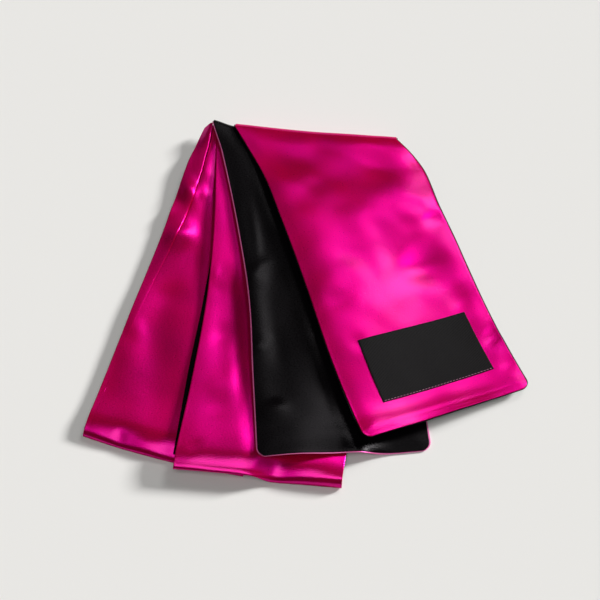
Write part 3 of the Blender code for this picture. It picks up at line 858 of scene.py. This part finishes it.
# The finish of each kind of face, and its slot
PINK_FACE = (PINK, "pink_satin")
PAINTED_HIGHLIGHT_FACE = (PINK_PAINTED_HIGHLIGHT, "pink_satin")
BLACK_FACE = (BLACK, "black_satin")
LABEL_FACE = (LABEL_CLOTH, "woven_black")
THREAD_FACE = (THREAD, "woven_black")


def pair(stretch, name, front_face, back_face, lips, rim=0):
    """The two cloths of a stretch: the upper one, and the one under it and inside its fold."""
    outer_lip, inner_lip = lips
    outer = stretch.surface(0, outer_lip, CLOTH * EDGE_TURN)
    inner = stretch.surface(CLOTH, outer_lip)
    if rim:
        outer = drawn_in(outer, rim)
        inner = drawn_in(inner, rim)
    front = add_piece(
        name + "_front_cloth", mesh_of(name + "_front", [outer, inner]), front_face, name + "_front"
    )
    near = stretch.surface(CLOTH + BETWEEN, inner_lip)
    far = stretch.surface(2 * CLOTH + BETWEEN, inner_lip, -CLOTH * EDGE_TURN)
    back = add_piece(
        name + "_back_cloth", mesh_of(name + "_back", [near, far]), back_face, name + "_back"
    )
    return front, back


top_plan = Plan(TOP, TOP_WIDTH, SPACING, CORNER, HEM_STEPS)
narrowed = 1 - (1 - TOP_FOLD_RIGHT) * smoothstep(top_plan.from_left[0] / TOP_WIDTH, TAPER_FROM, 1)
top = Stretch(top_plan, TOP_FOLD * narrowed, TOP_CREASES, seed=11, passes=60, roll=(2.0, 18))
top_front, top_back = pair(top, "top_stretch", PINK_FACE, BLACK_FACE, TOP_LIPS, RIM)

end_plan = Plan(END, END_WIDTH, SPACING, CORNER, ear=True)
end = Stretch(
    end_plan, END_FOLD, END_CREASES, seed=12, bottom=MIDDLE, passes=30, roll=(1.5, 24)
)
# Its pink back cloth takes the paler satin, a painted highlight along its edges
end_front, end_back = pair(end, "end_stretch", BLACK_FACE, PAINTED_HIGHLIGHT_FACE, END_LIPS, RIM)

middle_plan = Plan(MIDDLE, MIDDLE_WIDTH, SPACING)
middle = Stretch(
    middle_plan, MIDDLE_FOLD, MIDDLE_CREASES, seed=13, bottom=RETURN, passes=20,
    front_first=False, roll=(2.6, 12),
)
middle_front, middle_back = pair(middle, "middle_stretch", PINK_FACE, BLACK_FACE, MIDDLE_LIPS)

return_plan = Plan(RETURN, RETURN_WIDTH, HIDDEN_SPACING)
returning = Stretch(return_plan, RETURN_FOLD, (), seed=14, bottom=LOWER, thick=WALL, passes=6)
return_faces = [
    returning.surface(0, RETURN_LIP, CLOTH * HIDDEN_TURN),
    returning.surface(CLOTH, RETURN_LIP, -CLOTH * HIDDEN_TURN),
]
return_piece = add_piece(
    "return_stretch_cloth", mesh_of("return_stretch", return_faces), BLACK_FACE, "return_stretch"
)

lower_plan, pleat = pleated_plan(LOWER, LOWER_WIDTH, SPACING)
lower = Stretch(
    lower_plan, LOWER_FOLD, LOWER_CREASES, seed=15, extra=pleat, passes=10,
    front_first=False, roll=(3.4, 13),
)
lower_front, lower_back = pair(lower, "lower_stretch", PINK_FACE, BLACK_FACE, LOWER_LIPS)


PLY_ROWS, PLY_COLUMNS = 90, 40
PLY_EDGE_ROWS = 9  # round the edge of one ply
PLY_ROUND = 0.9  # how far a ply's edge bulges out
PLY_UNEVEN = 0.6  # a ply lies up to twice this far further in
PLY_STEP, PLY_START = 2.1, 0.5  # phase from one ply to the next, and of the first one
MOST_MOVED = 0.9  # an outline moves in by no more than this share of the way to the next points


def level(points, height):
    """A plan grid, all at one height."""
    return np.dstack([points, np.full(points.shape[:2], height)])


def moved_in(points, amount):
    """A plan grid with its whole outline moved in."""
    points = points.copy()
    for axis in (0, 1):
        lines = np.moveaxis(points, axis, 0)
        for edge, beside in ((0, 1), (-1, -2)):
            step = lines[beside] - lines[edge]
            size = np.maximum(np.linalg.norm(step, axis=1, keepdims=True), 1e-9)
            lines[edge] += step * np.minimum(amount / size, MOST_MOVED)
    return points


def plies(layer, count, bottom, thick):
    """Layers of cloth lying on each other, each with a rounded edge."""
    rows = through(layer.sections, np.linspace(0, 1, PLY_ROWS))
    across = np.linspace(0, 1, PLY_COLUMNS)
    points = rows[:, None, :2] + (rows[:, None, 2:] - rows[:, None, :2]) * across[None, :, None]
    levels = []
    ply = thick / count
    for number in range(count):
        further_in = PLY_UNEVEN * math.sin(number * PLY_STEP + PLY_START) + PLY_UNEVEN
        for angle in np.linspace(90, -90, PLY_EDGE_ROWS):
            turn = math.radians(angle)
            height = bottom + thick - ply * (number + 0.5) + ply / 2 * math.sin(turn)
            inset = PLY_ROUND * (1 - math.cos(turn)) + further_in
            levels.append(level(moved_in(points, inset), height))
    return levels


inner_levels = plies(INNER, INNER_PLIES, BASE.room, INNER_THICK - INNER_SLACK)
inner = add_piece(
    "inner_layers_cloth", mesh_of("inner_layers", inner_levels), PINK_FACE, "inner_layers"
)
base = add_piece(
    "base_stretch_cloth", mesh_of("base_stretch", plies(BASE, 1, 0.0, WALL)), PINK_FACE,
    "base_stretch",
)

# Label and its stitches. Heights are above the satin's face.
LABEL_UNDER = 0.1  # the underside
LABEL_EDGE = 0.12  # the upper face, at its edge
LABEL_BODY = 0.5  # how much higher that face is inside its rounded edge
LABEL_ROUND = 0.7  # width of that rounding
LABEL_TOP = LABEL_EDGE + LABEL_BODY
LABEL_SPACING = 1.3  # of its mesh
LABEL_EDGE_STEPS = (0, 0.1, 0.3, LABEL_ROUND)
STITCH_INSET = 0.9  # from the label's edge
STITCH_PITCH = 2.2
STITCH_SHARE = 0.72  # of the pitch that the stitch takes up
STITCH_RINGS, STITCH_SIDES = 7, 8
STITCH_DIP = 0.05  # how far its ends lie in the cloth
STITCH_ENDS = 0.45  # thickness there, as a share of the middle's
STITCH_SWELL = 0.6  # power of the arch that its thickness follows
STITCH_FLAT = 0.7  # height of its section, as a share of the width


def on_top(left, front, rise):
    """Points of the top stretch's face at these distances from its left side and front end."""
    face = top.surface(0, 0)
    rows, columns = top.plan.along[:, 0], top.plan.from_left[0]
    row = np.interp(front, rows, np.arange(len(rows)))
    column = np.interp(left, columns, np.arange(len(columns)))
    r = np.minimum(row.astype(int), len(rows) - 2)
    c = np.minimum(column.astype(int), len(columns) - 2)
    a, b = (row - r)[..., None], (column - c)[..., None]
    point = (
        face[r, c] * (1 - a) * (1 - b) + face[r + 1, c] * a * (1 - b)
        + face[r, c + 1] * (1 - a) * b + face[r + 1, c + 1] * a * b
    )
    point[..., 2] += rise
    return point


def label_levels():
    """The label's upper face and underside, and its own flat coordinates."""
    across = steps(LABEL_WIDTH, LABEL_SPACING, LABEL_EDGE_STEPS, LABEL_EDGE_STEPS)
    along = steps(LABEL_HEIGHT, LABEL_SPACING, LABEL_EDGE_STEPS, LABEL_EDGE_STEPS)
    left, front = np.meshgrid(LABEL_SIDE + across, LABEL_FRONT + along)
    edge = np.minimum.reduce([
        left - left.min(), left.max() - left, front - front.min(), front.max() - front
    ])
    share = 1 - np.clip(edge / LABEL_ROUND, 0, 1)
    rise = LABEL_EDGE + LABEL_BODY * np.sqrt(1 - share**2)
    uv = np.dstack([left, front]) * MM
    return [on_top(left, front, rise), on_top(left, front, LABEL_UNDER)], uv


label_faces, label_uv = label_levels()
label = add_piece("label_cloth", mesh_of("label", label_faces, label_uv), LABEL_FACE, "label")


def stitch_line(name, starts, ends, rise, thick):
    """Short stitches as one mesh: each a rod that dips into the cloth at its two ends."""
    points, faces = [], []
    rings, sides = STITCH_RINGS, STITCH_SIDES
    for start, end in zip(starts, ends):
        first = len(points)
        way = end - start
        way_unit = way / np.linalg.norm(way)
        side = np.cross(way_unit, [0, 0, 1.0])
        side /= np.linalg.norm(side)
        for ring in range(rings):
            share = ring / (rings - 1)
            arch = math.sin(math.pi * share)
            centre = start + way * share + np.array([0, 0, rise * arch - STITCH_DIP])
            size = thick * (STITCH_ENDS + (1 - STITCH_ENDS) * arch**STITCH_SWELL)
            for corner in range(sides):
                turn = 2 * math.pi * corner / sides
                up = np.array([0, 0, STITCH_FLAT * size * math.sin(turn)])
                points.append(centre + side * size * math.cos(turn) + up)
        for ring in range(rings - 1):
            for corner in range(sides):
                a = first + ring * sides + corner
                b = first + ring * sides + (corner + 1) % sides
                faces.append((a, b, b + sides, a + sides))
        faces.append(tuple(first + corner for corner in reversed(range(sides))))
        faces.append(tuple(first + (rings - 1) * sides + corner for corner in range(sides)))
    mesh = bpy.data.meshes.new(name)
    mesh.from_pydata(((np.array(points) + PLAN_ORIGIN) * MM).tolist(), [], faces)
    mesh.uv_layers.new(name="cloth")
    mesh.shade_smooth()
    return mesh


def label_stitches(first, last):
    """Start and end points of the stitches between two corners of their outline.

    The corners are distances from the top stretch's left side and front end.
    """
    first, last = np.array(first)[:, None], np.array(last)[:, None]
    count = int(math.hypot(*(last - first)[:, 0]) / STITCH_PITCH)
    begin = (np.arange(count) + 0.5 * (1 - STITCH_SHARE)) / count
    stop = begin + STITCH_SHARE / count
    return [on_top(*(first + (last - first) * at), LABEL_TOP) for at in (begin, stop)]


left_side, right_side = LABEL_SIDE + STITCH_INSET, LABEL_SIDE + LABEL_WIDTH - STITCH_INSET
front_side, back_side = LABEL_FRONT + STITCH_INSET, LABEL_FRONT + LABEL_HEIGHT - STITCH_INSET
front_left, front_right = (left_side, front_side), (right_side, front_side)
back_left, back_right = (left_side, back_side), (right_side, back_side)

front_line = label_stitches(front_left, front_right)
stitches = add_piece(
    "label_front_stitches",
    stitch_line("label_front_stitches", *front_line, rise=0.10, thick=0.17), THREAD_FACE,
)
other_lines = [
    label_stitches(back_left, back_right),
    label_stitches(front_left, back_left),
    label_stitches(front_right, back_right),
]
starts, ends = (np.vstack(points) for points in zip(*other_lines))
side_stitches = add_piece(
    "label_side_stitches",
    stitch_line("label_side_stitches", starts, ends, rise=0.08, thick=0.15), LABEL_FACE,
)

# Floor, light and camera
FLOOR_REACH = 9  # metres each way, so that its far edge is out of the frame at 15 degrees
FLOOR_CORNERS = ((-1, -1), (1, -1), (1, 1), (-1, 1))
floor_mesh = bpy.data.meshes.new("floor")
floor_points = [(FLOOR_REACH * x, FLOOR_REACH * y, 0) for x, y in FLOOR_CORNERS]
floor_mesh.from_pydata(floor_points, [], [(0, 1, 2, 3)])
floor = bpy.data.objects.new("floor", floor_mesh)
bpy.context.collection.objects.link(floor)
paper = bpy.data.materials.new("floor_paper")
paper.use_nodes = True
paper_shader = paper.node_tree.nodes["Principled BSDF"]
paper_shader.inputs["Base Color"].default_value = (0.80, 0.79, 0.765, 1)
paper_shader.inputs["Roughness"].default_value = 1.0
paper_shader.inputs["Specular IOR Level"].default_value = 0.0
floor_mesh.materials.append(paper)


def sun(name, azimuth, elevation, spread, strength):
    """A far light. Azimuth is counted clockwise from the back as seen from above."""
    light = bpy.data.lights.new(name, "SUN")
    light.angle = math.radians(spread)
    light.energy = strength
    lamp = bpy.data.objects.new(name, light)
    turn, tilt = math.radians(azimuth), math.radians(elevation)
    lamp.rotation_euler = (math.pi / 2 - tilt, 0, math.pi - turn)
    bpy.context.collection.objects.link(lamp)
    return lamp


SUNS = (
    # name, azimuth, elevation, spread, strength
    ("key", 64, 24, 12, 4.4),
    ("softbox", 36, 45, 16, 0.57),
    ("front", 180, 70, 30, 0.88),
)
for row in SUNS:
    sun(*row)

world = bpy.data.worlds.new("studio")
bpy.context.scene.world = world
world.use_nodes = True
sky = world.node_tree
way = node(sky, "ShaderNodeTexCoord").outputs["Generated"]
apart = node(sky, "ShaderNodeSeparateXYZ", {"Vector": way})
strength = {"From Min": -0.8, "From Max": 0.8, "To Min": 0.04, "To Max": 0.06}  # from the left
ramp = node(sky, "ShaderNodeMapRange", {"Value": apart.outputs["X"], **strength})
background = sky.nodes["Background"]
sky.links.new(ramp.outputs["Result"], background.inputs["Strength"])
background.inputs["Color"].default_value = (1, 1, 1, 1)

ELEVATION, DISTANCE = math.radians(60), 0.9  # of the camera, the distance in metres
TARGET_HEIGHT = 8.0  # of the point that it looks at
camera = bpy.data.cameras.new("camera")
camera.lens = 80
camera.sensor_width = 36
camera.clip_start = 0.05
camera.clip_end = 20
eye = bpy.data.objects.new("camera", camera)
bpy.context.collection.objects.link(eye)
bpy.context.scene.camera = eye
target = (PLAN_ORIGIN + np.array([0, 0, TARGET_HEIGHT])) * MM
eye.location = target + DISTANCE * np.array([0, -math.cos(ELEVATION), math.sin(ELEVATION)])
eye.rotation_euler = (math.pi / 2 - ELEVATION, 0, 0)

bpy.context.scene.view_settings.view_transform = "Standard"
